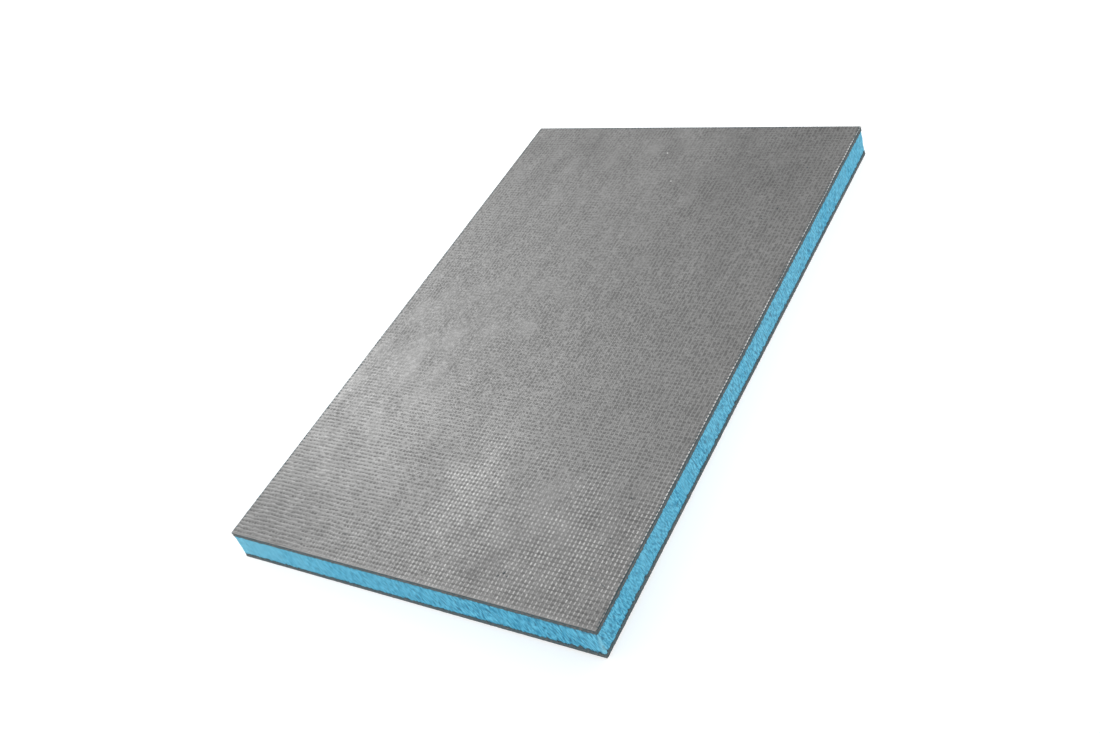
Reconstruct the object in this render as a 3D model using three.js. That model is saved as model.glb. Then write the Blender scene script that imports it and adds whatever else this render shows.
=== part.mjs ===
// A foam tile backer board: a blue extruded polystyrene core between two grey facings of
// polymer-modified cement mortar, each with a glass-fibre mesh cast into it.
// Millimetres, +Z up. The origin is the centre of the lower face: the board lies flat on Z = 0,
// with its length along Y and its width along X.

import * as THREE from "three";

// Driving dimensions
const BOARD_LENGTH = 560;
const BOARD_WIDTH = 330;
const CORE_THICKNESS = 22.5;
const FACING_THICKNESS = 3.75; // mortar and mesh together
const CORNER_RADIUS = 1.5; // the board's four upright corners, seen from above
const ARRIS_RADIUS = 0.75; // the worn outer edge that runs round each facing

// How many flat steps stand for each quarter round
const CORNER_STEPS = 6;
const ARRIS_STEPS = 4;

const QUARTER_TURN = Math.PI / 2;

const foam = new THREE.MeshStandardMaterial({ color: 0x58aac8, roughness: 0.85, metalness: 0 });
const mortar = new THREE.MeshStandardMaterial({ color: 0x8f8e8c, roughness: 0.6, metalness: 0 });

// The board's outline seen from above, anticlockwise, drawn in by inset on every side.
function outline(inset) {
  const radius = CORNER_RADIUS - inset;
  const x = BOARD_WIDTH / 2 - CORNER_RADIUS;
  const y = BOARD_LENGTH / 2 - CORNER_RADIUS;
  const cornerCentres = [[x, y], [-x, y], [-x, -y], [x, -y]];
  return cornerCentres.flatMap(([centreX, centreY], corner) =>
    Array.from({ length: CORNER_STEPS + 1 }, (_, step) => {
      const angle = (corner + step / CORNER_STEPS) * QUARTER_TURN;
      return new THREE.Vector2(
        centreX + radius * Math.cos(angle),
        centreY + radius * Math.sin(angle),
      );
    }),
  );
}

// A closed solid through a stack of levels, lowest first. Each level is the board's outline
// drawn in by its inset, at its height z.
function loft(levels) {
  const rings = levels.map(({ inset, z }) => ({ points: outline(inset), z }));
  const count = rings[0].points.length;
  const positions = rings.flatMap(({ points, z }) => points.flatMap(({ x, y }) => [x, y, z]));
  const topRing = (rings.length - 1) * count;
  const triangles = [];
  for (const [a, b, c] of THREE.ShapeUtils.triangulateShape(rings[0].points, [])) {
    triangles.push(c, b, a);
    triangles.push(topRing + a, topRing + b, topRing + c);
  }
  for (let ring = 0; ring < topRing; ring += count) {
    for (let i = 0; i < count; i++) {
      const low = ring + i;
      const nextLow = ring + ((i + 1) % count);
      triangles.push(low, nextLow, nextLow + count);
      triangles.push(low, nextLow + count, low + count);
    }
  }
  const geometry = new THREE.BufferGeometry();
  geometry.setAttribute("position", new THREE.Float32BufferAttribute(positions, 3));
  geometry.setIndex(triangles);
  geometry.computeVertexNormals();
  return geometry;
}

// The foam core, sawn square on all four sides.
function makeCore() {
  const core = new THREE.Mesh(loft([{ inset: 0, z: 0 }, { inset: 0, z: CORE_THICKNESS }]), foam);
  core.name = "foam_core";
  return core;
}

// One facing, with its bonded side at Z = 0 and its outer face, with the worn edge, above it.
function makeFacing(name) {
  const wornEdge = Array.from({ length: ARRIS_STEPS + 1 }, (_, step) => {
    const angle = (step / ARRIS_STEPS) * QUARTER_TURN;
    return {
      inset: ARRIS_RADIUS * (1 - Math.cos(angle)),
      z: FACING_THICKNESS - ARRIS_RADIUS * (1 - Math.sin(angle)),
    };
  });
  const facing = new THREE.Mesh(loft([{ inset: 0, z: 0 }, ...wornEdge]), mortar);
  facing.name = name;
  return facing;
}

const core = makeCore();
core.position.z = FACING_THICKNESS;

const topFacing = makeFacing("top_facing");
topFacing.position.z = FACING_THICKNESS + CORE_THICKNESS;

const bottomFacing = makeFacing("bottom_facing");
bottomFacing.rotation.y = Math.PI;
bottomFacing.position.z = FACING_THICKNESS;

const board = new THREE.Group();
board.name = "tile_backer_board";
board.add(core, topFacing, bottomFacing);

export default board;
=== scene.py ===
import math

import bpy
import numpy as np
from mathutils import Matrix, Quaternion, Vector


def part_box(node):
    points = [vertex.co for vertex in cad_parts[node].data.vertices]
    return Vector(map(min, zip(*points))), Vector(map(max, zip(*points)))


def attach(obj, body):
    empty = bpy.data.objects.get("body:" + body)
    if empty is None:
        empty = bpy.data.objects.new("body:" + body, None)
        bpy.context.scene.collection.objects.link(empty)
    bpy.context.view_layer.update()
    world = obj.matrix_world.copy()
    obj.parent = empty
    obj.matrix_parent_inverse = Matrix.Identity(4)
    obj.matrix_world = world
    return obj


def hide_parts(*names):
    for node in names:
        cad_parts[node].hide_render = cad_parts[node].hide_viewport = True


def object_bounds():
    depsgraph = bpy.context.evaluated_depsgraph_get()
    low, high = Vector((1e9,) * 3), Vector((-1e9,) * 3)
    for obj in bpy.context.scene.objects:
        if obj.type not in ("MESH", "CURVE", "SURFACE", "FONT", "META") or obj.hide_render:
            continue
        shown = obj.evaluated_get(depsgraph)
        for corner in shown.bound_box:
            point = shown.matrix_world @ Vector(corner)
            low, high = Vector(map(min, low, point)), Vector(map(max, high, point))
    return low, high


# A foam tile backer board lying flat: blue foam core, sawn on all sides, between two grey mortar
# facings with a glass-fibre mesh cast into them. Metres, +Z up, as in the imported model.

MM = 0.001

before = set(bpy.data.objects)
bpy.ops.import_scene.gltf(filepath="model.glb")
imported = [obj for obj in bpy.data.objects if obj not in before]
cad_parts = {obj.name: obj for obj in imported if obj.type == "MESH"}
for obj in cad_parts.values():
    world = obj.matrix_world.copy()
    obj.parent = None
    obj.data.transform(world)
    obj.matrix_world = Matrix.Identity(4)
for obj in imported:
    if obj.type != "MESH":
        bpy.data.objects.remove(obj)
cad_low, cad_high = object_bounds()
core_low, core_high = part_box("foam_core")

HALF_WIDTH = cad_high.x
HALF_LENGTH = cad_high.y
BOARD_TOP = cad_high.z
CORE_BOTTOM = core_low.z
CORE_TOP = core_high.z

# The mesh in each facing. Warp yarns run along the board, one on each side of every cell, and a
# weft yarn runs across the board through the middle of every cell.
CELLS_ACROSS = 101
CELLS_ALONG = 153
WEFT_PITCH = 2 * HALF_LENGTH / CELLS_ALONG
EDGE_YARN_INSET = 0.95 * MM
YARN_END_INSET = 0.12 * MM
WARP_HALF_WIDTH = 1.15 * MM
WEFT_HALF_WIDTH = 1.70 * MM
RAISED_WEFT_WIDENING = 0.45

# Where along one mesh cell a yarn's crest turns
WARP_STOPS = (0.0, 0.30, 0.70)
WEFT_STOPS = (0.0, 0.5)

# Depths below the board's outer face
SKIN_DEPTH = 0.50 * MM
SKIN_FRONT_DEPTH = 0.36 * MM
FOOT_DEPTH = 0.85 * MM
RIM_DEPTH = 0.40 * MM

# Heights of the yarns above the skin, and how they vary from knot to knot
KNOT_HEIGHT = 0.45 * MM
DIP_HEIGHT = 0.10 * MM
WEFT_HEIGHT = 0.23 * MM
WEFT_UNDER_HEIGHT = 0.10 * MM
RAISED_WEFT_HEIGHT = 0.38 * MM
KNOT_SPREAD = 0.09 * MM
KNOT_SPREAD_LIMITS = (-1.5, 0.4)
WEFT_SPREAD = 0.4 * KNOT_SPREAD
WEFT_SPREAD_LIMITS = (-1.5, 0.5)

# Where mortar hides the yarns, they stay this patchy, and this little of their height is left
PATCHINESS = 0.5
LEAST_COVER = 0.02
MOST_HIDDEN = 0.95
MOST_FILLED = 0.9

# How far the yarns wander sideways, and over what lengths across and along the board
YARN_WANDER = 0.20 * MM
YARN_WANDER_WAVES = (35 * MM, 35 * MM)
RAISED_WEFT_WANDER = 0.26 * MM
RAISED_WEFT_WANDER_WAVES = (11 * MM, 7 * MM)

# The thin film of mortar between the yarns
SKIN_STEP = 4.0 * MM
SKIN_INSET = 0.75 * MM
SKIN_FRONT_INSET = 0.35 * MM
SKIN_THICKNESS = 0.05 * MM

# Paleness is 0 for mortar, 1 for bare glass with a painted glint, and below 0 for painted shade beside
# and between the knots
FEET_SHADE = -0.35
FEET_SHADE_EVERYWHERE = 0.3
DIP_PALENESS = -0.9
WORN_AND_GLINTING_EVERYWHERE = 0.12
KNOT_WEAR_AND_GLINT = (0.45, 1.0)
YARN_WEAR_AND_GLINT = (0.8, 1.0)
WEFT_WEAR_AND_GLINT = 0.3
WEFT_FEET_SHADE = 0.7
RAISED_WEFT_GLINTS = 0.30
GLINT_RARITY = 4

# The bare warp yarn along the right side, its knots pale glass with painted glints and its dips painted
# shade: where it starts, and its paleness
BARE_GLINTING_EDGE_START = -0.215
EDGE_DIP_SHADE_PALENESS = -1
BARE_GLINTING_KNOT_PALENESS = (0.75, 1.4)
BARE_KNOTS_MISSING = 0.06

# The sawn sides
FACING_CORNER_RADIUS = 1.6 * MM
FOAM_CORNER_RADIUS = 1.5 * MM
FACING_STEP = 0.8 * MM
FOAM_STEP = 0.68 * MM
CORNER_STEP_SHARE = 0.6
FOAM_INSET = 0.60 * MM

# Saw marks in the foam: share of the depth, lengths across and along the marks, and seed
SAW_TILT = math.radians(17)
SAW_DEPTH = 0.10 * MM
SAW_DEPTH_LIMIT = 2.5
SAW_MARKS = {
    "long": (1.0, (2.6 * MM, 14 * MM), 11),
    "broad": (0.3, (9 * MM, 30 * MM), 12),
    "short": (0.6, (2.2 * MM, 8 * MM), 13),
}

# The foam's crushed pale corners, wider at the bottom
CRUSHED_WIDTH_TOP = 1.5 * MM
CRUSHED_WIDTH_BOTTOM = 5.5 * MM
CRUSHED_PALENESS = 0.45
CRUSHED_STEEPNESS = 1.5

# The lip of mortar over the foam, and its teeth
LIP_DEPTH = 0.45 * MM
LIP_THICKNESS = 0.12 * MM
LIP_ROUGHNESS = 0.20 * MM
LIP_UNDERCUT = 0.35 * MM
TOOTH_DEPTH_TOP = 0.60 * MM
TOOTH_DEPTH_BOTTOM = 0.90 * MM
TOOTH_STEEPNESS = 1.3
FINE_TEETH_WAVE = 1.7 * MM
FINE_TEETH_LOWEST = -0.5
BROAD_TEETH_WAVE = 7 * MM
FEWEST_TEETH = 0.5
MORE_TEETH = 0.4

# Where the facing meets the foam, out of sight behind the lip
UNDERSIDE_INSET = 1.6 * MM
UNDERSIDE_RISE = 0.3 * MM

# The facing's sawn side: how rough, and the height as a share of the facing's thickness
ROUGHNESS_WAVE = 1.8 * MM
ROUGHNESS_SPREAD = 0.5
SIDE_STEPS = ((0.16 * MM, 0.25), (0.20 * MM, 0.50), (0.12 * MM, 0.72))

# The low rim round the skin: how rough, inset added, and depth below the rim's top
RIM_STEPS = (
    (0.12 * MM, 0, 0.30 * MM),
    (0.18 * MM, 0, 0.12 * MM),
    (0.24 * MM, 0.20 * MM, 0),
    (0.75 * MM, 0.50 * MM, 0.04 * MM),
)
RIM_WIDTH = 2.20 * MM

# The rims of all areas below wander this far, and their amounts are this uneven
AREA_WANDER = (6 * MM, 9 * MM)
AREA_WANDER_WAVES = (40 * MM, 40 * MM)
AREA_UNEVENNESS = 0.08
AREA_UNEVENNESS_WAVES = (30 * MM, 50 * MM)

# Areas of a facing where mortar hides the yarns: centre, half-size and how much it hides
WARP_HIDDEN = {
    "left front": ((-0.150, -0.190), (0.150, 0.180), 0.60),
    "left middle": ((-0.110, -0.030), (0.140, 0.170), 0.35),
    "back": ((-0.020, 0.250), (0.300, 0.200), 0.40),
    "centre": ((0.000, 0.060), (0.120, 0.160), 0.25),
    "front patch": ((0.078, -0.190), (0.034, 0.050), 0.50),
}
WEFT_HIDDEN = {
    "back": ((0.000, 0.210), (0.400, 0.320), 0.95),
    "left middle": ((-0.110, -0.010), (0.150, 0.180), 0.75),
    "centre": ((0.030, -0.020), (0.110, 0.180), 0.60),
    "right": ((0.150, -0.010), (0.130, 0.230), 0.60),
    "front patch": ((0.078, -0.190), (0.034, 0.050), 0.50),
}

# Where the weft lies over the warp in raised wavy rows
WEFT_RAISED = {
    "left front": ((-0.150, -0.240), (0.190, 0.190), 1.10),
}

# Where mortar fills the grooves between the yarns, so that the painted shade in them is weaker
GROOVES_FILLED = {
    "front right": ((0.105, -0.235), (0.180, 0.150), 0.42),
    "left middle": ((-0.110, -0.040), (0.150, 0.160), 0.20),
    "left front": ((-0.130, -0.190), (0.120, 0.130), 0.30),
}

# Where the knots are pale, on both faces: partly worn down to glass, partly painted glints, with
# painted shade at their feet
KNOTS_WORN_AND_GLINTING = {
    "front right": ((0.105, -0.235), (0.160, 0.130), 1.25),
    "front middle": ((0.010, -0.180), (0.050, 0.090), 0.75),
    "front left": ((-0.030, -0.260), (0.130, 0.070), 0.55),
    "left": ((-0.140, -0.100), (0.080, 0.100), 0.35),
}

# Paler and darker areas of the upper face, partly the mortar's own blotches and smudges, partly painted
# sheen from the window at the left and front and painted shade towards the back: centre, half-size and
# tone added
TONE_AND_PAINTED_LIGHT_AREAS = {
    "pale left edge": ((-0.162, -0.110), (0.024, 0.070), 0.52),
    "pale left": ((-0.110, -0.068), (0.018, 0.045), 0.10),
    "pale left front, a": ((-0.131, -0.174), (0.016, 0.026), 0.25),
    "pale left front, b": ((-0.082, -0.183), (0.030, 0.040), 0.22),
    "pale knots": ((0.012, -0.180), (0.038, 0.075), 0.28),
    "pale middle": ((0.018, -0.095), (0.035, 0.130), 0.17),
    "pale left middle": ((-0.080, -0.128), (0.085, 0.060), 0.25),
    "dark left middle": ((-0.110, -0.022), (0.085, 0.095), -0.11),
    "dark front right": ((0.100, -0.235), (0.110, 0.090), -0.22),
    "dark left spot": ((-0.101, -0.120), (0.016, 0.026), -0.32),
    "dark left streak": ((-0.143, -0.148), (0.014, 0.030), -0.16),
    "dark left back": ((-0.146, -0.056), (0.014, 0.032), -0.12),
    "dark left front": ((-0.115, -0.178), (0.013, 0.024), -0.18),
    "dark front left": ((-0.130, -0.250), (0.085, 0.055), -0.31),
    "dark front, a": ((0.068, -0.256), (0.036, 0.020), -0.22),
    "dark front, b": ((0.053, -0.268), (0.014, 0.012), -0.16),
    "dark near corner": ((0.163, -0.268), (0.012, 0.026), -0.18),
    "dark back left": ((-0.115, 0.240), (0.120, 0.090), -0.14),
    "dark back middle": ((0.005, 0.262), (0.050, 0.045), -0.10),
    "dark back right": ((0.100, 0.220), (0.100, 0.140), -0.18),
}

# Unevenness of the mortar's tone: strength, lengths across and along the board, and seed
TONE_RIPPLES = {
    "streaks": (0.030, (16 * MM, 400 * MM), 71),
    "broad mottling": (0.025, (45 * MM, 70 * MM), 72),
    "small mottling": (0.018, (14 * MM, 20 * MM), 73),
}

# Specks on the upper face: place, half-length, half-width, turn in degrees and paleness
SPECKS = {
    "front right, a": ((0.1408, -0.1702), 0.9 * MM, 0.6 * MM, 60, 0.0),
    "front right, b": ((0.1447, -0.1824), 0.6 * MM, 0.5 * MM, 0, 0.0),
    "front right, c": ((0.1414, -0.2072), 0.8 * MM, 0.5 * MM, 80, 0.0),
    "front right, d": ((0.1378, -0.2145), 0.9 * MM, 0.6 * MM, 30, 0.0),
    "front right, e": ((0.1489, -0.2187), 0.6 * MM, 0.5 * MM, 0, 0.0),
    "front right, f": ((0.1386, -0.2277), 0.7 * MM, 0.5 * MM, 40, 0.0),
    "front stroke, a": ((0.0810, -0.2540), 1.7 * MM, 0.5 * MM, 70, 0.0),
    "front stroke, b": ((0.0845, -0.2560), 1.4 * MM, 0.5 * MM, 75, 0.0),
    "front stroke, c": ((0.0775, -0.2575), 1.2 * MM, 0.4 * MM, 60, 0.0),
    "front left, a": ((-0.0977, -0.2687), 0.9 * MM, 0.5 * MM, 70, 0.1),
    "front left, b": ((-0.0623, -0.2549), 1.2 * MM, 0.5 * MM, 60, 0.1),
    "front left, c": ((-0.0560, -0.2665), 1.5 * MM, 0.5 * MM, 55, 0.1),
    "near scratch, a": ((0.1445, -0.2418), 3.2 * MM, 0.35 * MM, -14, 0.1),
    "near scratch, b": ((0.1535, -0.2450), 3.0 * MM, 0.35 * MM, -24, 0.1),
    "middle": ((0.1121, -0.1415), 0.7 * MM, 0.5 * MM, 20, 0.0),
    "back, a": ((0.1370, 0.2177), 0.9 * MM, 0.6 * MM, 0, 0.0),
    "back, b": ((0.1306, 0.1594), 0.9 * MM, 0.6 * MM, 50, 0.0),
    "back, c": ((0.1217, 0.1451), 0.8 * MM, 0.6 * MM, 90, 0.0),
    "pale, a": ((-0.0032, 0.2375), 0.9 * MM, 0.7 * MM, 0, 1.0),
    "pale, b": ((0.0183, 0.1942), 0.8 * MM, 0.6 * MM, 30, 1.0),
}
SPECK_POINTS = 7
SPECK_SEED = 51
SPECK_JITTER = (0.75, 1.15)
# A speck's rings, lowest first: share of its size, and depth below the outer face
SPECK_RINGS = ((1.0, FOOT_DEPTH), (0.85, 0.35 * SKIN_DEPTH), (0.45, 0.12 * SKIN_DEPTH))

# Where the foam's sides are pale: partly dust, partly a painted sheen at the left end and along the
# front
FOAM_DUST_AND_SHEEN_AREAS = {
    "left end": ((-0.165, -0.280), (0.130, 0.050), 0.16),
    "front": ((-0.120, -0.280), (0.280, 0.040), 0.10),
    "right": ((0.165, 0.020), (0.020, 0.600), 0.16),
    "back": ((0.000, 0.280), (0.400, 0.030), 0.10),
    "left": ((-0.165, 0.050), (0.020, 0.600), 0.12),
}

# Where the foam's cells are torn, which leaves dark nicks
FOAM_TORN = {
    "front": ((0.120, -0.280), (0.240, 0.040), 0.55),
    "right": ((0.165, 0.000), (0.020, 0.340), 0.75),
    "back": ((-0.060, 0.280), (0.240, 0.040), 0.40),
    "left": ((-0.165, 0.060), (0.020, 0.360), 0.45),
}
TORN_EVERYWHERE = 0.35

# Larger teeth of mortar over the foam, below the upper facing: place, half-width and depth
TOP_TEETH = {
    "right": ((0.165, -0.247), 2.0 * MM, 0.9 * MM),
    "front": ((0.060, -0.280), 1.5 * MM, 0.8 * MM),
    "back": ((-0.040, 0.280), 2.0 * MM, 1.0 * MM),
}
# The same, above the lower facing
BOTTOM_TEETH = {
    "front, large": ((0.146, -0.280), 2.2 * MM, 2.8 * MM),
    "front, small": ((0.160, -0.280), 1.2 * MM, 1.2 * MM),
    "front, a": ((0.152, -0.280), 2.5 * MM, 1.3 * MM),
    "front, b": ((0.140, -0.280), 2.0 * MM, 1.4 * MM),
    "front, c": ((0.121, -0.280), 1.5 * MM, 1.3 * MM),
    "front, d": ((0.086, -0.280), 2.5 * MM, 0.9 * MM),
    "right, a": ((0.165, -0.243), 1.8 * MM, 1.6 * MM),
    "right, b": ((0.165, -0.230), 4.0 * MM, 1.0 * MM),
    "left": ((-0.165, 0.090), 2.5 * MM, 1.2 * MM),
}

# Greys of the facings, from 0 for black to 1 for white
MORTAR_GREYS = (0.170, 0.215)
GROOVE_SHADE_GREYS = (0.070, 0.110)
GLASS_AND_GLINT_GREY = 0.75
PAINTED_SHADE_GREY = 0.095
PALE_GRIT_GREY = 0.45
DARK_GRIT_GREY = 0.08
GLASS_CHIP_GREY = 0.78

# Colours of the sawn mortar, the specks, the foam and the paper
SLATE_DARK = (0.034, 0.062, 0.072, 1)
SLATE_PALE = (0.105, 0.145, 0.158, 1)
SLATE_EDGE = (0.030, 0.052, 0.060, 1)
WARM_DARK = (0.105, 0.092, 0.082, 1)
WARM_PALE = (0.225, 0.202, 0.182, 1)
CHIP_DARK = (0.020, 0.038, 0.045, 1)
CHIP_PALE = (0.060, 0.090, 0.105, 1)
FOAM_PLAIN = (0.056, 0.390, 0.590, 1)
FOAM_BROAD_STROKE = (0.100, 0.455, 0.665, 1)
FOAM_STROKE_DARK = (0.010, 0.225, 0.400, 1)
FOAM_STROKE_PALE = (0.130, 0.560, 0.780, 1)
FOAM_NICK = (0.010, 0.130, 0.235, 1)
FOAM_DUST_AND_SHEEN = (0.310, 0.670, 0.790, 1)
PAPER_DARK = (0.94, 0.94, 0.94, 1)
PAPER_PALE = (0.96, 0.96, 0.96, 1)

# How fine each texture is, in patches for each metre
GRIT_SCALE = 900
BLOTCH_SCALE = 260
GROOVE_FILLING_SCALE = 380
SAWN_GRAIN_SCALE = 1100
WARM_WOBBLE_SCALE = 320
WARM_FLECK_SCALE = 500
WARM_PATCH_SCALE = 60
STROKE_SCALE = 850
NICK_SCALE = 700
BROAD_STROKE_SCALE = 60
FOAM_CELL_SCALE = 2400
CHIP_GRAIN_SCALE = 1500
PAPER_SCALE = 0.8

# The foam's strokes are stretched upwards: their height counts for this share
STROKE_HEIGHT_SHARE = 0.20

# The warm line in the sawn mortar, in heights from the foam outwards, and the darker outer edge
WARM_LINE_START = (0.3 * MM, 0.9 * MM)
WARM_LINE_END = (2.0 * MM, 2.6 * MM)
WARM_LINE_WOBBLE = 0.5 * MM
DARK_EDGE_START = (2.7 * MM, 3.1 * MM)
DARK_EDGE_SHARE = 0.45

# Camera, from the photograph's viewing angle
CAMERA_PLACE = (0.5203, -0.6433, 0.6595)
CAMERA_AIM = (-0.1123, -0.0767, 0.0300)
CAMERA_ROLL = math.radians(-25.69)
CAMERA_LENS = 40.19
CAMERA_SHIFT_X = 0.1273
CAMERA_SENSOR = 36
CAMERA_CLIP = (0.01, 50)

# Light and floor
SKY_LOW = 1.35
SKY_HIGH = 0.30
WINDOW_PLACE = (-1.0955, 0.6778, 1.1375)
WINDOW_AIM = (-0.10, -0.10, 0.03)
WINDOW_SIZE = 0.7
WINDOW_POWER = 21
FLOOR_GLOW = 0.20
FLOOR_HALF_SIZE = 6.0

# Random ripples: how many cosine waves, how much their frequencies vary, and where they are cut off
RIPPLE_WAVES = 28
RIPPLE_FREQUENCIES = (0.7, 1.4)
RIPPLE_LIMIT = 2


# Small helpers for shapes

def ripples(points, wavelengths, seed):
    """A smooth random height for each point, about 1 high, with a wavelength for each axis."""
    rng = np.random.default_rng(seed)
    direction = rng.normal(size=(RIPPLE_WAVES, len(wavelengths)))
    direction /= np.linalg.norm(direction, axis=1, keepdims=True)
    frequency = rng.uniform(*RIPPLE_FREQUENCIES, size=(RIPPLE_WAVES, 1))
    pace = direction * frequency * 2 * np.pi / np.array(wavelengths)
    phase = rng.uniform(0, 2 * np.pi, RIPPLE_WAVES)
    total = np.zeros(points.shape[:-1])
    for k in range(RIPPLE_WAVES):
        total += np.cos(points @ pace[k] + phase[k])
    return total * math.sqrt(2 / RIPPLE_WAVES)


def ripple_sum(points, layers):
    """Named layers of ripples added up. Each has its strength, wavelengths and seed."""
    total = np.zeros(points.shape[:-1])
    for strength, wavelengths, seed in layers.values():
        total += strength * ripples(points, wavelengths, seed)
    return total


def smooth_fall(x, y, centre, half_size):
    """1 at an area's centre, falling smoothly to 0 at its rim."""
    distance = np.hypot((x - centre[0]) / half_size[0], (y - centre[1]) / half_size[1])
    near = np.clip(1 - distance, 0, 1)
    return near * near * (3 - 2 * near)


def mesh_object(name, points, faces, sharp_from=50):
    """A new object, smooth apart from edges that turn by more than sharp_from degrees."""
    mesh = bpy.data.meshes.new(name)
    mesh.from_pydata(points.tolist(), [], faces)
    mesh.update()
    mesh.shade_smooth()
    mesh.set_sharp_from_angle(angle=math.radians(sharp_from))
    made = bpy.data.objects.new(name, mesh)
    bpy.context.scene.collection.objects.link(made)
    return made


def flip_over(points):
    """Turns a piece of the upper facing over, end for end, to make the lower facing's."""
    return points * np.array([1, -1, -1]) + np.array([0, 0, BOARD_TOP])


# The sides

def side_path(corner_radius, step):
    """Points round the board, anticlockwise, with outward directions and distances from the start."""
    places = []
    outward = []
    corner_centre = (HALF_WIDTH - corner_radius, HALF_LENGTH - corner_radius)
    signs = ((1, -1), (1, 1), (-1, 1), (-1, -1))
    arc_steps = max(3, round(corner_radius * math.pi / 2 / (step * CORNER_STEP_SHARE)))
    for corner, (sx, sy) in enumerate(signs):
        centre = np.array([sx * corner_centre[0], sy * corner_centre[1]])
        start = -math.pi / 2 + corner * math.pi / 2
        for k in range(arc_steps + 1):
            angle = start + k / arc_steps * math.pi / 2
            direction = np.array([math.cos(angle), math.sin(angle)])
            outward.append(direction)
            places.append(centre + corner_radius * direction)
        next_sx, next_sy = signs[(corner + 1) % 4]
        end = np.array([next_sx * corner_centre[0], next_sy * corner_centre[1]])
        here = places[-1]
        there = end + corner_radius * direction
        count = round(np.linalg.norm(there - here) / step)
        for k in range(1, count):
            outward.append(direction)
            places.append(here + (there - here) * k / count)
    places = np.array(places)
    outward = np.array(outward)
    gaps = np.linalg.norm(np.roll(places, -1, axis=0) - places, axis=1)
    distance = np.concatenate([[0], np.cumsum(gaps)[:-1]])
    return places, outward, distance


def shell(places, outward, rings):
    """A closed solid through rings, lowest first. Each ring is (inset, z), a value or one per point."""
    count = len(places)
    points = np.concatenate([
        np.column_stack([
            places - outward * np.broadcast_to(inset, count)[:, None],
            np.broadcast_to(z, count),
        ])
        for inset, z in rings
    ])
    here = np.arange(count)
    after = np.roll(here, -1)
    faces = []
    for ring in range(len(rings) - 1):
        low, high = ring * count, (ring + 1) * count
        faces += np.column_stack([low + here, low + after, high + after, high + here]).tolist()
    faces.append(here[::-1].tolist())
    faces.append((here + (len(rings) - 1) * count).tolist())
    return points, faces


def foam_core():
    """The core, sawn on all four sides, with marks that lean a little from upright."""
    places, outward, distance = side_path(FOAM_CORNER_RADIUS, FOAM_STEP)
    rows = round((CORE_TOP - CORE_BOTTOM) / FOAM_STEP)
    rings = []
    for row in range(rows + 1):
        z = CORE_BOTTOM + (CORE_TOP - CORE_BOTTOM) * row / rows
        across = distance * math.cos(SAW_TILT) + z * math.sin(SAW_TILT)
        along = -distance * math.sin(SAW_TILT) + z * math.cos(SAW_TILT)
        marks = np.column_stack([across, along])
        depth = np.clip(ripple_sum(marks, SAW_MARKS), -SAW_DEPTH_LIMIT, SAW_DEPTH_LIMIT)
        inset = FOAM_INSET + SAW_DEPTH * depth
        rings.append((inset, z))
    points, faces = shell(places, outward, rings)
    made = mesh_object("foam_core_sawn", points, faces)
    x, y, z = points.T
    from_corner = np.maximum(HALF_WIDTH - np.abs(x), HALF_LENGTH - np.abs(y))
    height = (z - CORE_BOTTOM) / (CORE_TOP - CORE_BOTTOM)
    crushed_width = CRUSHED_WIDTH_BOTTOM + (CRUSHED_WIDTH_TOP - CRUSHED_WIDTH_BOTTOM) * height
    crushed = np.clip(CRUSHED_STEEPNESS * (1 - from_corner / crushed_width), 0, 1)
    # Pale from dust and the crushed corners, with a painted sheen at the left end and front
    dust_and_sheen = area_sum(x, y, FOAM_DUST_AND_SHEEN_AREAS, seed=81)
    add_attribute(made, "pale_dust_and_sheen", np.maximum(CRUSHED_PALENESS * crushed, dust_and_sheen))
    add_attribute(made, "torn", TORN_EVERYWHERE + area_sum(x, y, FOAM_TORN, seed=84))
    return made


def tooth_depths(places, teeth):
    """How far the named teeth reach over the foam at each place along the sides."""
    depth = np.zeros(len(places))
    for centre, half_width, reach in teeth.values():
        distance = np.linalg.norm(places - np.array(centre), axis=1)
        near = np.clip(TOOTH_STEEPNESS * (1 - distance / half_width), 0, 1)
        depth = np.maximum(depth, reach * near)
    return depth


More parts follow.
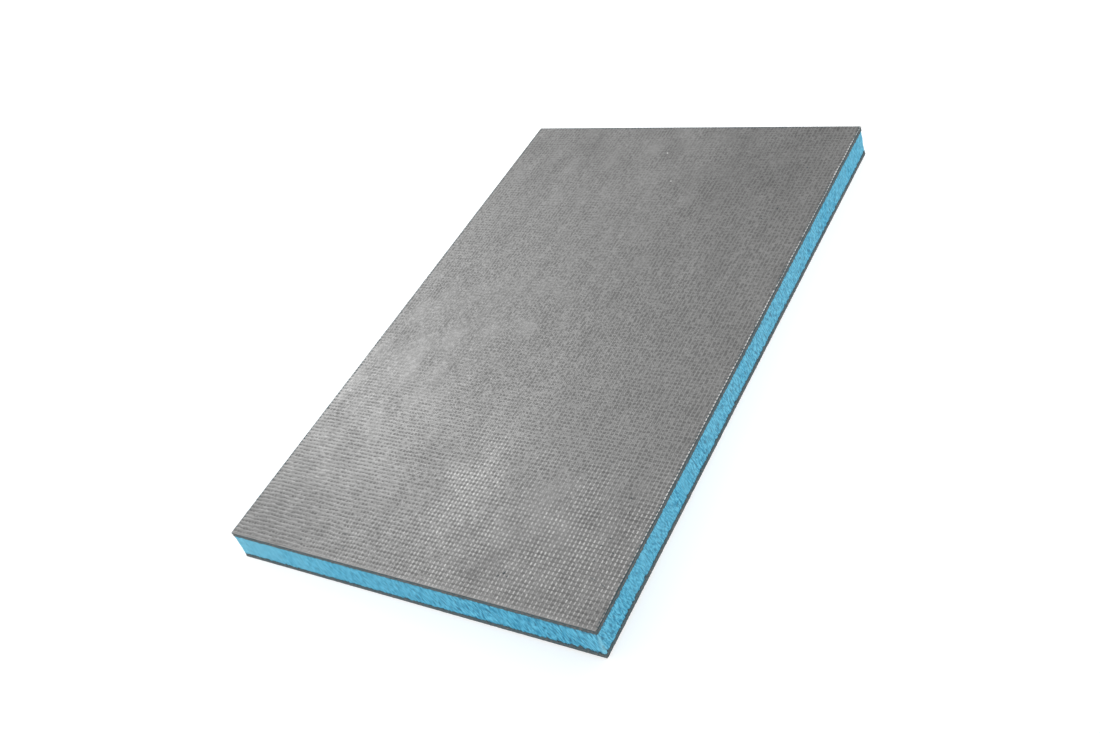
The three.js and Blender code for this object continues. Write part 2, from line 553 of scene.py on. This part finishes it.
def facing_slab(name, seed, teeth, over=False):
    """The mortar of one facing: a flat skin in a low rim, rough sawn sides and teeth over the foam."""
    places, outward, _ = side_path(FACING_CORNER_RADIUS, FACING_STEP)
    around = np.column_stack([places, np.zeros(len(places))])

    def rough(depth, level):
        spots = around + np.array([0, 0, level * MM])
        height = np.clip(ripples(spots, (ROUGHNESS_WAVE,) * 3, seed), -RIPPLE_LIMIT, RIPPLE_LIMIT)
        return depth * (1 + ROUGHNESS_SPREAD * height)

    fine = ripples(around, (FINE_TEETH_WAVE,) * 3, seed + 1)
    fine = np.clip(fine, FINE_TEETH_LOWEST, RIPPLE_LIMIT)
    broad = np.clip(ripples(around, (BROAD_TEETH_WAVE,) * 3, seed + 2), 0, RIPPLE_LIMIT)
    tooth_depth = TOOTH_DEPTH_BOTTOM if over else TOOTH_DEPTH_TOP
    reach = LIP_DEPTH + tooth_depth * fine * (FEWEST_TEETH + MORE_TEETH * broad)
    # The named teeth are placed as on the finished board, and turning it over swaps its ends
    named = tooth_depths(places * np.array([1, -1]) if over else places, teeth)
    lowest = CORE_TOP - np.maximum(reach, 0) - named
    thickness = BOARD_TOP - CORE_TOP
    rim = BOARD_TOP - RIM_DEPTH
    levels = [(LIP_ROUGHNESS, 0, lowest + LIP_THICKNESS)]
    levels += [(depth, 0, CORE_TOP + share * thickness) for depth, share in SIDE_STEPS]
    levels += [(depth, inset, rim - drop) for depth, inset, drop in RIM_STEPS]
    rings = [(UNDERSIDE_INSET, CORE_TOP + UNDERSIDE_RISE), (FOAM_INSET + LIP_UNDERCUT, lowest)]
    rings += [(rough(depth, k) + inset, z) for k, (depth, inset, z) in enumerate(levels)]
    rings.append((RIM_WIDTH, BOARD_TOP - SKIN_DEPTH))
    points, faces = shell(places, outward, rings)
    if over:
        points = flip_over(points)
    return mesh_object(name, points, faces)


# The mesh relief

def area_sum(x, y, areas, seed):
    """The named areas' amounts added up at each place, with soft uneven rims."""
    places = np.stack([x, y], -1)
    x = x + AREA_WANDER[0] * ripples(places, AREA_WANDER_WAVES, seed)
    y = y + AREA_WANDER[1] * ripples(places, AREA_WANDER_WAVES, seed + 1)
    total = np.zeros(np.shape(x))
    for centre, half_size, amount in areas.values():
        total = total + amount * smooth_fall(x, y, centre, half_size)
    return total


def area_share(x, y, areas, seed):
    """How much the named areas cover each place, from 0 to 1."""
    uneven = AREA_UNEVENNESS * ripples(np.stack([x, y], -1), AREA_UNEVENNESS_WAVES, seed + 2)
    return np.clip(area_sum(x, y, areas, seed) + uneven, 0, 1)


def warp_cover(x, y):
    """How much of the warp yarns' height stands clear of the mortar."""
    return 1 - MOST_HIDDEN * area_share(x, y, WARP_HIDDEN, seed=21)


def weft_raise(x, y):
    """How far the weft yarns are raised over the warp, from 0 to 1."""
    return area_share(x, y, WEFT_RAISED, seed=24)


def weft_cover(x, y):
    """How much of the weft yarns' height stands clear of the mortar."""
    hidden = MOST_HIDDEN * area_share(x, y, WEFT_HIDDEN, seed=27)
    return 1 - hidden * (1 - weft_raise(x, y))


def knots_worn_and_glinting(x, y):
    """How pale the knots are: partly worn down to glass, partly painted glints."""
    return area_sum(x, y, KNOTS_WORN_AND_GLINTING, seed=77)


def feet_shade(x, y):
    """The paleness at a yarn's feet, a painted shade: dark where the knots are pale, and little changed
    elsewhere.
    """
    return FEET_SHADE * np.clip(FEET_SHADE_EVERYWHERE + knots_worn_and_glinting(x, y), 0, 1)


def face_tone_and_painted_light(x, y, areas):
    """How pale the mortar is at each place, about 1: named areas of its own tone and of painted sheen
    and shade, streaks and mottling.
    """
    return 1 + ripple_sum(np.stack([x, y], -1), TONE_RIPPLES) + area_sum(x, y, areas, seed=74)


def add_attribute(made, name, values):
    """Stores a value at each point, for the materials to read."""
    attribute = made.data.attributes.new(name, "FLOAT", "POINT")
    attribute.data.foreach_set("value", values.astype(np.float32))


def finish_facing_piece(made, areas, over):
    """Gives a piece of facing its tone, painted sheen and shade included. The lower facing's points are
    turned back up first.
    """
    count = len(made.data.vertices)
    points = np.empty(count * 3)
    made.data.vertices.foreach_get("co", points)
    points = points.reshape(count, 3)
    if over:
        points = flip_over(points)
    # The tone includes painted sheen and shade from the named areas
    add_attribute(made, "tone", face_tone_and_painted_light(points[:, 0], points[:, 1], areas))


def skin_sheet(name, areas, over=False):
    """The thin mortar film between the yarns: a closed sheet, which rises a little at its front end."""
    half = np.array([HALF_WIDTH, HALF_LENGTH]) - SKIN_INSET
    columns = round(2 * half[0] / SKIN_STEP)
    rows = round(2 * half[1] / SKIN_STEP)
    x, y = np.meshgrid(
        np.linspace(-half[0], half[0], columns + 1), np.linspace(-half[1], half[1], rows + 1)
    )
    x, y = x.ravel(), y.ravel()
    at_front = np.arange(len(y)) <= columns
    y[at_front] = SKIN_FRONT_INSET - HALF_LENGTH
    depth = np.where(at_front, SKIN_FRONT_DEPTH, SKIN_DEPTH - SKIN_THICKNESS / 2)
    upper = np.column_stack([x, y, BOARD_TOP - depth])
    stride = columns + 1
    start = (np.arange(rows)[:, None] * stride + np.arange(columns)).ravel()
    faces = np.column_stack([start, start + 1, start + stride + 1, start + stride]).tolist()
    rim = np.concatenate([
        np.arange(columns),
        columns + stride * np.arange(rows),
        rows * stride + np.arange(columns, 0, -1),
        stride * np.arange(rows, 0, -1),
    ])
    lower = upper[rim]
    lower[:, 2] = BOARD_TOP - SKIN_DEPTH - SKIN_THICKNESS / 2
    below = len(upper) + np.arange(len(rim))
    faces += np.column_stack([np.roll(rim, -1), rim, below, np.roll(below, -1)]).tolist()
    faces.append(below[::-1].tolist())
    points = np.concatenate([upper, lower])
    x, y = points[:, 0], points[:, 1]
    # Painted shade in the grooves between the yarns, weaker where mortar fills them
    filled = area_share(x, y, GROOVES_FILLED, seed=30)
    shaded_grooves = np.maximum(warp_cover(x, y), weft_cover(x, y)) * (1 - MOST_FILLED * filled)
    shaded_grooves[:columns + 1] = 0
    made = mesh_object(name, flip_over(points) if over else points, faces)
    add_attribute(made, "shaded_grooves", shaded_grooves)
    finish_facing_piece(made, areas, over)
    return made


def ridge_faces(yarns, cells, stops):
    """Faces of closed ridges. A ridge has its crest points, then its left and right feet."""
    crest_count = cells * stops + 1
    stride = crest_count + 2 * (cells + 1)
    faces = []
    cell = np.arange(cells)
    for yarn in range(yarns):
        start = yarn * stride
        left = start + crest_count + cell
        right = left + cells + 1
        crest = start + cell * stops
        middle = stops // 2
        parts = [
            np.column_stack([right, right + 1, crest + middle]),
            np.column_stack([left + 1, left, crest + middle]),
        ]
        for stop in range(stops):
            step = 0 if stop < middle else 1
            parts.append(np.column_stack([right + step, crest + stop + 1, crest + stop]))
            parts.append(np.column_stack([left + step, crest + stop, crest + stop + 1]))
        for part in parts:
            faces += part.tolist()
        faces += np.column_stack([left, left + 1, right + 1, right]).tolist()
        faces.append((int(left[0]), int(right[0]), int(start)))
        faces.append((int(right[-1]) + 1, int(left[-1]) + 1, int(start + crest_count - 1)))
    return faces


def yarn_points(across, edges, stops, width_of, crest_of, wander_of, to_board):
    """Crest and foot points of every ridge, and how pale each one is."""
    fractions = np.array(stops)
    cells = len(edges) - 1
    crest_along = (edges[:-1, None] + fractions * np.diff(edges)[:, None]).ravel()
    crest_along = np.append(crest_along, edges[-1])
    foot_z = BOARD_TOP - FOOT_DEPTH
    points = []
    shines = []
    for yarn, place in enumerate(across):
        x, y = to_board(np.full_like(crest_along, place), crest_along)
        wander = wander_of(x, y)
        height, shine = crest_of(yarn, x, y, cells)
        x, y = to_board(place + wander, crest_along)
        crest = np.column_stack([x, y, BOARD_TOP - SKIN_DEPTH + height])
        foot_wander = np.interp(edges, crest_along, wander)
        half_width = width_of(*to_board(np.full_like(edges, place), edges))
        feet = []
        for side in (-1, 1):
            x, y = to_board(place + foot_wander + side * half_width, edges)
            feet.append(np.column_stack([x, y, np.full(len(edges), foot_z)]))
        points += [crest, *feet]
        # The feet carry painted shade beside the knots
        shines += [shine, np.tile(feet_shade(*to_board(np.full_like(edges, place), edges)), 2)]
    return np.concatenate(points), np.concatenate(shines)


def clamp_to_board(points):
    """Keeps the ends and outer feet of the yarns inside the sawn sides."""
    limit = np.array([HALF_WIDTH, HALF_LENGTH]) - YARN_END_INSET
    points[:, :2] = np.clip(points[:, :2], -limit, limit)
    return points


def warp_ridges(name, seed, areas, over=False):
    """The yarns along the board, each raised where it crosses over a weft yarn."""
    rng = np.random.default_rng(seed)
    span = 2 * (HALF_WIDTH - EDGE_YARN_INSET)
    across = -span / 2 + span * np.arange(CELLS_ACROSS + 1) / CELLS_ACROSS
    edges = np.linspace(-HALF_LENGTH, HALF_LENGTH, CELLS_ALONG + 1)
    yarn_wear_and_glint = rng.uniform(*YARN_WEAR_AND_GLINT, len(across))

    def knots(low, high):
        """A value at each crest point: low where the yarn dips, high at both ends of each knot."""
        return np.append(np.column_stack([np.full(len(high), low), high, high]).ravel(), low)

    def crest_of(yarn, x, y, cells):
        cover = warp_cover(x, y)
        chance = np.clip(rng.normal(0, 1, cells), *KNOT_SPREAD_LIMITS)
        relief = knots(DIP_HEIGHT, KNOT_HEIGHT + KNOT_SPREAD * chance)
        patchy = PATCHINESS * knots(0, rng.normal(0, 1, cells)) * (1 - cover)
        # Knots pale from wear and from painted glints
        wear_and_glint = np.repeat(rng.uniform(*KNOT_WEAR_AND_GLINT, cells), len(WARP_STOPS)) * yarn_wear_and_glint[yarn]
        # Dips between the knots get painted shade
        worn_and_glinting = knots(DIP_PALENESS, np.ones(cells)) * np.append(wear_and_glint, wear_and_glint[-1])
        pale = worn_and_glinting * (WORN_AND_GLINTING_EVERYWHERE + knots_worn_and_glinting(x, y))
        # The right edge's yarn: bare glass with painted glints on its knots and painted shade in its
        # dips
        if yarn == len(across) - 1:
            bare_and_glinting = rng.uniform(*BARE_GLINTING_KNOT_PALENESS, cells)
            bare_and_glinting = bare_and_glinting * (rng.uniform(0, 1, cells) > BARE_KNOTS_MISSING)
            return relief, np.where(y > BARE_GLINTING_EDGE_START, knots(EDGE_DIP_SHADE_PALENESS, bare_and_glinting), pale)
        return relief * np.clip(cover + patchy, LEAST_COVER, 1), pale

    def wander_of(x, y):
        return YARN_WANDER * ripples(np.stack([x, y], -1), YARN_WANDER_WAVES, seed=31)

    def width_of(x, y):
        return WARP_HALF_WIDTH

    def to_board(across_here, along_here):
        return across_here, along_here

    points, shine = yarn_points(across, edges, WARP_STOPS, width_of, crest_of, wander_of, to_board)
    faces = ridge_faces(len(across), CELLS_ALONG, len(WARP_STOPS))
    return finish_ridges(name, points, faces, shine, areas, over)


def weft_ridges(name, seed, areas, over=False):
    """The yarns across the board: lower than the warp, or in some areas raised over it in wavy rows."""
    rng = np.random.default_rng(seed)
    across = -HALF_LENGTH + WEFT_PITCH * (np.arange(CELLS_ALONG) + 0.5)
    span = HALF_WIDTH - EDGE_YARN_INSET
    edges = np.linspace(-span, span, CELLS_ACROSS + 1)
    between_warp = np.append(np.tile([0.0, 1.0], CELLS_ACROSS), 0.0)

    def crest_of(yarn, x, y, cells):
        raised = weft_raise(x, y)
        cover = weft_cover(x, y)
        chance = np.clip(rng.normal(0, 1, len(x)), *WEFT_SPREAD_LIMITS)
        woven = WEFT_UNDER_HEIGHT + (WEFT_HEIGHT - WEFT_UNDER_HEIGHT) * between_warp
        woven = woven + WEFT_SPREAD * chance
        height = woven + (RAISED_WEFT_HEIGHT + KNOT_SPREAD * chance - woven) * raised
        patchy = rng.normal(0, PATCHINESS, len(x)) * (1 - cover)
        # Pale knots from wear and painted glints, and painted highlights on the raised rows
        worn_and_glinting = WEFT_WEAR_AND_GLINT * between_warp * rng.uniform(0, 1, len(x)) * knots_worn_and_glinting(x, y)
        glints = RAISED_WEFT_GLINTS * raised * rng.uniform(0, 1, len(x)) ** GLINT_RARITY
        # Painted shade at the weft's feet
        painted_shade = WEFT_FEET_SHADE * (feet_shade(x, y) - FEET_SHADE_EVERYWHERE * FEET_SHADE)
        return height * np.clip(cover + patchy, LEAST_COVER, 1), worn_and_glinting + glints + painted_shade

    def wander_of(x, y):
        places = np.stack([x, y], -1)
        slow = YARN_WANDER * ripples(places, YARN_WANDER_WAVES, seed=31)
        quick = RAISED_WEFT_WANDER * ripples(places, RAISED_WEFT_WANDER_WAVES, seed=32)
        return slow + weft_raise(x, y) * quick

    def width_of(x, y):
        return WEFT_HALF_WIDTH * (1 + RAISED_WEFT_WIDENING * weft_raise(x, y))

    def to_board(across_here, along_here):
        return along_here, -across_here

    points, shine = yarn_points(across, edges, WEFT_STOPS, width_of, crest_of, wander_of, to_board)
    faces = ridge_faces(len(across), CELLS_ACROSS, len(WEFT_STOPS))
    return finish_ridges(name, points, faces, shine, areas, over)


def finish_ridges(name, points, faces, shine, areas, over):
    """The yarns' object, turned over for the lower facing, with its paleness and tone."""
    points = clamp_to_board(points)
    made = mesh_object(name, flip_over(points) if over else points, faces, sharp_from=80)
    add_attribute(made, "paleness", shine)
    finish_facing_piece(made, areas, over)
    return made


def specks(name):
    """Small flattened lumps stuck to the upper face: chips of dark mortar and of glass yarn."""
    rng = np.random.default_rng(SPECK_SEED)
    angles = np.arange(SPECK_POINTS) / SPECK_POINTS * 2 * math.pi
    points = []
    faces = []
    tones = []
    for place, half_length, half_width, turn, tone in SPECKS.values():
        heading = math.radians(turn)
        first = len(points)
        jitter = rng.uniform(*SPECK_JITTER, SPECK_POINTS)
        for share, depth in SPECK_RINGS:
            for angle, wobble in zip(angles, jitter):
                along = half_length * share * wobble * math.cos(angle)
                aside = half_width * share * wobble * math.sin(angle)
                points.append((
                    place[0] + along * math.cos(heading) - aside * math.sin(heading),
                    place[1] + along * math.sin(heading) + aside * math.cos(heading),
                    BOARD_TOP - depth,
                ))
        for ring in range(len(SPECK_RINGS) - 1):
            low = first + ring * SPECK_POINTS
            high = low + SPECK_POINTS
            for k in range(SPECK_POINTS):
                after = (k + 1) % SPECK_POINTS
                faces.append((low + k, low + after, high + after, high + k))
        last = len(points) - SPECK_POINTS
        faces.append([first + k for k in reversed(range(SPECK_POINTS))])
        faces.append([last + k for k in range(SPECK_POINTS)])
        tones += [tone] * (SPECK_POINTS * len(SPECK_RINGS))
    made = mesh_object(name, np.array(points), faces)
    add_attribute(made, "paleness", np.array(tones))
    return made


# Small helpers for materials

def node(tree, kind, inputs=None, **settings):
    """A new shader node with its settings, and each input's value or link."""
    made = tree.nodes.new("ShaderNode" + kind)
    for name, value in settings.items():
        setattr(made, name, value)
    for name, value in (inputs or {}).items():
        if isinstance(value, bpy.types.NodeSocket):
            tree.links.new(value, made.inputs[name])
        else:
            made.inputs[name].default_value = value
    return made


def calculate(tree, operation, a, b=0.0):
    return node(tree, "Math", {0: a, 1: b}, operation=operation).outputs[0]


def remap(tree, value, low, high, new_low=0.0, new_high=1.0, smooth=True):
    """Takes the range from low to high onto a new one, cut off at its ends."""
    kind = "SMOOTHSTEP" if smooth else "LINEAR"
    inputs = {"Value": value, "From Min": low, "From Max": high}
    inputs.update({"To Min": new_low, "To Max": new_high})
    return node(tree, "MapRange", inputs, interpolation_type=kind).outputs["Result"]


def mix_colours(tree, share, a, b, blend_type="MIX"):
    made = node(tree, "Mix", {0: share, 6: a, 7: b}, data_type="RGBA", blend_type=blend_type)
    return made.outputs[2]


def grey(value):
    """A grey that is a touch warm, like the mortar."""
    return (value, value, value * 0.985, 1)


def noise(tree, place, scale, detail=3.0, roughness=0.55, distortion=0.0):
    inputs = {"Vector": place, "Scale": scale, "Detail": detail, "Roughness": roughness}
    inputs["Distortion"] = distortion
    return node(tree, "TexNoise", inputs).outputs["Fac"]


def attribute(tree, name):
    return node(tree, "Attribute", attribute_name=name).outputs["Fac"]


def bump_from(tree, height, strength, distance, below=None):
    """A bump, on top of the bump below where there is one."""
    inputs = {"Height": height, "Strength": strength, "Distance": distance}
    if below is not None:
        inputs["Normal"] = below
    return node(tree, "Bump", inputs).outputs[0]


def new_material(name):
    """A material with a Principled shader, and the places of its surface in the board's own metres."""
    made = bpy.data.materials.new(name)
    made.use_nodes = True
    tree = made.node_tree
    shader = tree.nodes["Principled BSDF"]
    place = node(tree, "TexCoord").outputs["Object"]
    return made, tree, shader, place


def connect(tree, shader, **inputs):
    """Links outputs to the shader's inputs, whose names have underscores here for spaces."""
    for name, value in inputs.items():
        tree.links.new(value, shader.inputs[name.replace("_", " ")])


# Materials

def mortar_face(name, yarns):
    """Grey polymer mortar with a soft sheen. Over the yarns, knots are pale from wear and painted
    glints, and dips and feet carry painted shade.
    """
    made, tree, shader, place = new_material(name)
    grit = noise(tree, place, GRIT_SCALE, detail=3, roughness=0.7)
    blotch = noise(tree, place, BLOTCH_SCALE, detail=3, roughness=0.6)
    mottled = remap(tree, blotch, 0.3, 0.7)
    roughness = remap(tree, blotch, 0.25, 0.75, 0.42, 0.56)
    colour = mix_colours(tree, mottled, grey(MORTAR_GREYS[0]), grey(MORTAR_GREYS[1]))
    if yarns:
        paleness = attribute(tree, "paleness")
        # Pale knots: wear down to glass and painted glints
        worn_and_glinting = remap(tree, paleness, 0.10, 0.95, smooth=False)
        # Painted shade in the dips and at the feet of the yarns
        painted_shade = remap(tree, paleness, FEET_SHADE, 0.0, 0.75, 0.0, smooth=False)
        colour = mix_colours(tree, worn_and_glinting, colour, grey(GLASS_AND_GLINT_GREY))
        colour = mix_colours(tree, painted_shade, colour, grey(PAINTED_SHADE_GREY))
    else:
        # Painted shade in the grooves, patchy where mortar fills them
        filling = noise(tree, place, GROOVE_FILLING_SCALE, detail=2, distortion=0.5)
        unfilled = remap(tree, filling, 0.44, 0.62, 1.0, 0.15)
        open_share = remap(tree, attribute(tree, "shaded_grooves"), 0.1, 0.9)
        shaded_grooves = calculate(tree, "MULTIPLY", open_share, unfilled)
        groove_shade_colour = mix_colours(tree, mottled, grey(GROOVE_SHADE_GREYS[0]), grey(GROOVE_SHADE_GREYS[1]))
        colour = mix_colours(tree, shaded_grooves, colour, groove_shade_colour)
        roughness = calculate(tree, "ADD", roughness, calculate(tree, "MULTIPLY", shaded_grooves, 0.15))
    pale_grit = remap(tree, grit, 0.58, 0.70, 0.0, 0.22)
    dark_grit = remap(tree, grit, 0.30, 0.42, 0.35, 0.0)
    colour = mix_colours(tree, pale_grit, colour, grey(PALE_GRIT_GREY))
    colour = mix_colours(tree, dark_grit, colour, grey(DARK_GRIT_GREY))
    # The tone holds the mortar's own mottling and the named areas' painted sheen and shade
    tone = attribute(tree, "tone")
    shade = node(tree, "CombineColor", {0: tone, 1: tone, 2: tone}).outputs[0]
    colour = mix_colours(tree, 1.0, colour, shade, blend_type="MULTIPLY")
    bump = bump_from(tree, grit, 0.5, 0.10 * MM)
    bump = bump_from(tree, blotch, 0.6, 0.25 * MM, below=bump)
    connect(tree, shader, Base_Color=colour, Normal=bump, Roughness=roughness)
    shader.inputs["Specular IOR Level"].default_value = 0.6
    return made


def sawn_mortar():
    """The facings' sawn sides: dark slate, with a warmer grey line along the mortar's inner part."""
    made, tree, shader, place = new_material("sawn_mortar")
    z = node(tree, "SeparateXYZ", {0: place}).outputs["Z"]
    from_middle = calculate(tree, "ABSOLUTE", calculate(tree, "SUBTRACT", z, BOARD_TOP / 2))
    from_foam = calculate(tree, "SUBTRACT", from_middle, CORE_TOP - BOARD_TOP / 2)
    wavy = noise(tree, place, WARM_WOBBLE_SCALE, detail=2)
    wobble = remap(tree, wavy, 0.3, 0.7, -WARM_LINE_WOBBLE, WARM_LINE_WOBBLE, smooth=False)
    height = calculate(tree, "ADD", from_foam, wobble)
    past_start = remap(tree, height, *WARM_LINE_START)
    before_end = remap(tree, height, *WARM_LINE_END, 1.0, 0.0)
    line = calculate(tree, "MULTIPLY", past_start, before_end)
    flecks = remap(tree, noise(tree, place, WARM_FLECK_SCALE, detail=3), 0.46, 0.58)
    patches = remap(tree, noise(tree, place, WARM_PATCH_SCALE, detail=3), 0.34, 0.56, 0.3, 1.0)
    patchy_line = calculate(tree, "MULTIPLY", line, patches)
    warm_share = calculate(tree, "MULTIPLY", patchy_line, flecks)
    grain = noise(tree, place, SAWN_GRAIN_SCALE, detail=4, roughness=0.7)
    grainy = remap(tree, grain, 0.3, 0.7)
    slate = mix_colours(tree, grainy, SLATE_DARK, SLATE_PALE)
    warm = mix_colours(tree, grainy, WARM_DARK, WARM_PALE)
    colour = mix_colours(tree, warm_share, slate, warm)
    dark_edge = remap(tree, height, *DARK_EDGE_START, 0.0, DARK_EDGE_SHARE)
    colour = mix_colours(tree, dark_edge, colour, SLATE_EDGE)
    connect(tree, shader, Base_Color=colour, Normal=bump_from(tree, grain, 0.8, 0.25 * MM))
    shader.inputs["Roughness"].default_value = 0.8
    shader.inputs["Specular IOR Level"].default_value = 0.3
    return made


def sawn_foam():
    """Blue extruded polystyrene, sawn: strokes that lean from upright, and paler parts from dust and
    crushing, with a painted sheen at the left end and front.
    """
    made, tree, shader, place = new_material("sawn_foam")
    split = node(tree, "SeparateXYZ", {0: place}).outputs
    round_board = calculate(tree, "ADD", split["X"], split["Y"])
    lean = calculate(tree, "MULTIPLY", split["Z"], math.tan(SAW_TILT))
    leaning = calculate(tree, "ADD", round_board, lean)
    flattened = calculate(tree, "MULTIPLY", split["Z"], STROKE_HEIGHT_SHARE)
    strokes_place = node(tree, "CombineXYZ", {0: leaning, 1: flattened}).outputs[0]
    strokes = noise(tree, strokes_place, STROKE_SCALE, detail=2, roughness=0.6)
    nicks = noise(tree, strokes_place, NICK_SCALE, detail=1, roughness=0.5)
    broad = noise(tree, strokes_place, BROAD_STROKE_SCALE, detail=2)
    cells = noise(tree, place, FOAM_CELL_SCALE, detail=2, roughness=0.6)
    torn = attribute(tree, "torn")
    stroke_share = remap(tree, torn, 0.2, 0.8, 0.45, 1.0, smooth=False)
    broad_share = remap(tree, broad, 0.35, 0.7, 0.0, 0.3)
    nick_share = calculate(tree, "MULTIPLY", remap(tree, nicks, 0.58, 0.64), torn)
    stroke_pale = remap(tree, strokes, 0.40, 0.60)
    stroke_colour = mix_colours(tree, stroke_pale, FOAM_STROKE_DARK, FOAM_STROKE_PALE)
    colour = mix_colours(tree, stroke_share, FOAM_PLAIN, stroke_colour)
    colour = mix_colours(tree, broad_share, colour, FOAM_BROAD_STROKE)
    colour = mix_colours(tree, nick_share, colour, FOAM_NICK)
    # Dust, crushed corners and painted sheen
    colour = mix_colours(tree, attribute(tree, "pale_dust_and_sheen"), colour, FOAM_DUST_AND_SHEEN)
    bump = bump_from(tree, cells, 0.4, 0.12 * MM)
    bump = bump_from(tree, strokes, 0.9, 0.50 * MM, below=bump)
    connect(tree, shader, Base_Color=colour, Normal=bump)
    shader.inputs["Roughness"].default_value = 0.72
    shader.inputs["Specular IOR Level"].default_value = 0.35
    return made


def speck_material():
    """Chips of dark mortar, or of glass where a speck is pale."""
    made, tree, shader, place = new_material("specks")
    grain = noise(tree, place, CHIP_GRAIN_SCALE, detail=3)
    dark_chip = mix_colours(tree, grain, CHIP_DARK, CHIP_PALE)
    colour = mix_colours(tree, attribute(tree, "paleness"), dark_chip, grey(GLASS_CHIP_GREY))
    connect(tree, shader, Base_Color=colour, Normal=bump_from(tree, grain, 0.5, 0.10 * MM))
    shader.inputs["Roughness"].default_value = 0.7
    return made


def floor_material():
    """White paper that glows faintly, so that the board's shade on it stays soft."""
    made, tree, shader, place = new_material("white_floor")
    colour = mix_colours(tree, noise(tree, place, PAPER_SCALE, detail=1), PAPER_DARK, PAPER_PALE)
    connect(tree, shader, Base_Color=colour)
    shader.inputs["Roughness"].default_value = 1.0
    shader.inputs["Specular IOR Level"].default_value = 0.0
    shader.inputs["Emission Color"].default_value = (1, 1, 1, 1)
    shader.inputs["Emission Strength"].default_value = FLOOR_GLOW
    return made


# The board's pieces

def dress(piece, material):
    """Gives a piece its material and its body."""
    piece.data.materials.append(material)
    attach(piece, "root")


def make_board():
    """The core, both facings and the specks. The named areas of tone, painted sheen and painted shade
    are on the upper face alone.
    """
    cut = sawn_mortar()
    skin = mortar_face("mortar_skin", yarns=False)
    relief = mortar_face("mortar_over_yarns", yarns=True)
    core = foam_core()
    dress(core, sawn_foam())
    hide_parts("foam_core")
    facings = (
        ("top", 40, False, TONE_AND_PAINTED_LIGHT_AREAS, TOP_TEETH),
        ("bottom", 60, True, {}, BOTTOM_TEETH),
    )
    for side, seed, over, areas, teeth in facings:
        slab = facing_slab(f"{side}_facing_mortar", seed, teeth, over)
        dress(slab, cut)
        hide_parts(f"{side}_facing")
        dress(skin_sheet(f"{side}_mortar_skin", areas, over), skin)
        dress(warp_ridges(f"{side}_mesh_warp", seed + 5, areas, over), relief)
        dress(weft_ridges(f"{side}_mesh_weft", seed + 6, areas, over), relief)
    dress(specks("top_specks"), speck_material())


# Floor, light and camera

def make_floor():
    half = FLOOR_HALF_SIZE
    points = np.array([(-half, -half, 0), (half, -half, 0), (half, half, 0), (-half, half, 0)])
    floor = mesh_object("floor", points, [(0, 1, 2, 3)])
    floor.data.materials.append(floor_material())


def soft_light(name, place, aim, size, power):
    """A round lamp that throws no shadow."""
    lamp = bpy.data.lights.new(name, "AREA")
    lamp.shape = "DISK"
    lamp.size = size
    lamp.energy = power
    lamp.use_shadow = False
    made = bpy.data.objects.new(name, lamp)
    made.location = place
    made.rotation_mode = "QUATERNION"
    made.rotation_quaternion = (Vector(aim) - Vector(place)).to_track_quat("-Z", "Y")
    bpy.context.scene.collection.objects.link(made)


def make_light():
    """A white room, brighter low down than overhead, and a soft window beyond the left back corner."""
    world = bpy.data.worlds.new("white_studio")
    world.use_nodes = True
    tree = world.node_tree
    background = tree.nodes["Background"]
    background.inputs["Color"].default_value = (1, 1, 1, 1)
    direction = node(tree, "TexCoord").outputs["Generated"]
    height = node(tree, "SeparateXYZ", {0: direction}).outputs["Z"]
    strength = remap(tree, height, 0.0, 1.0, SKY_LOW, SKY_HIGH, smooth=False)
    tree.links.new(strength, background.inputs["Strength"])
    bpy.context.scene.world = world
    soft_light("window", WINDOW_PLACE, WINDOW_AIM, WINDOW_SIZE, WINDOW_POWER)


def make_camera():
    lens = bpy.data.cameras.new("camera")
    lens.lens = CAMERA_LENS
    lens.sensor_width = CAMERA_SENSOR
    lens.shift_x = CAMERA_SHIFT_X
    lens.clip_start, lens.clip_end = CAMERA_CLIP
    made = bpy.data.objects.new("camera", lens)
    made.location = CAMERA_PLACE
    made.rotation_mode = "QUATERNION"
    level = (Vector(CAMERA_AIM) - Vector(CAMERA_PLACE)).to_track_quat("-Z", "Y")
    made.rotation_quaternion = level @ Quaternion((0, 0, 1), CAMERA_ROLL)
    bpy.context.scene.collection.objects.link(made)
    bpy.context.scene.camera = made


def set_view():
    view = bpy.context.scene.view_settings
    view.view_transform = "Standard"
    view.look = "None"


make_board()
make_floor()
make_light()
make_camera()
set_view()
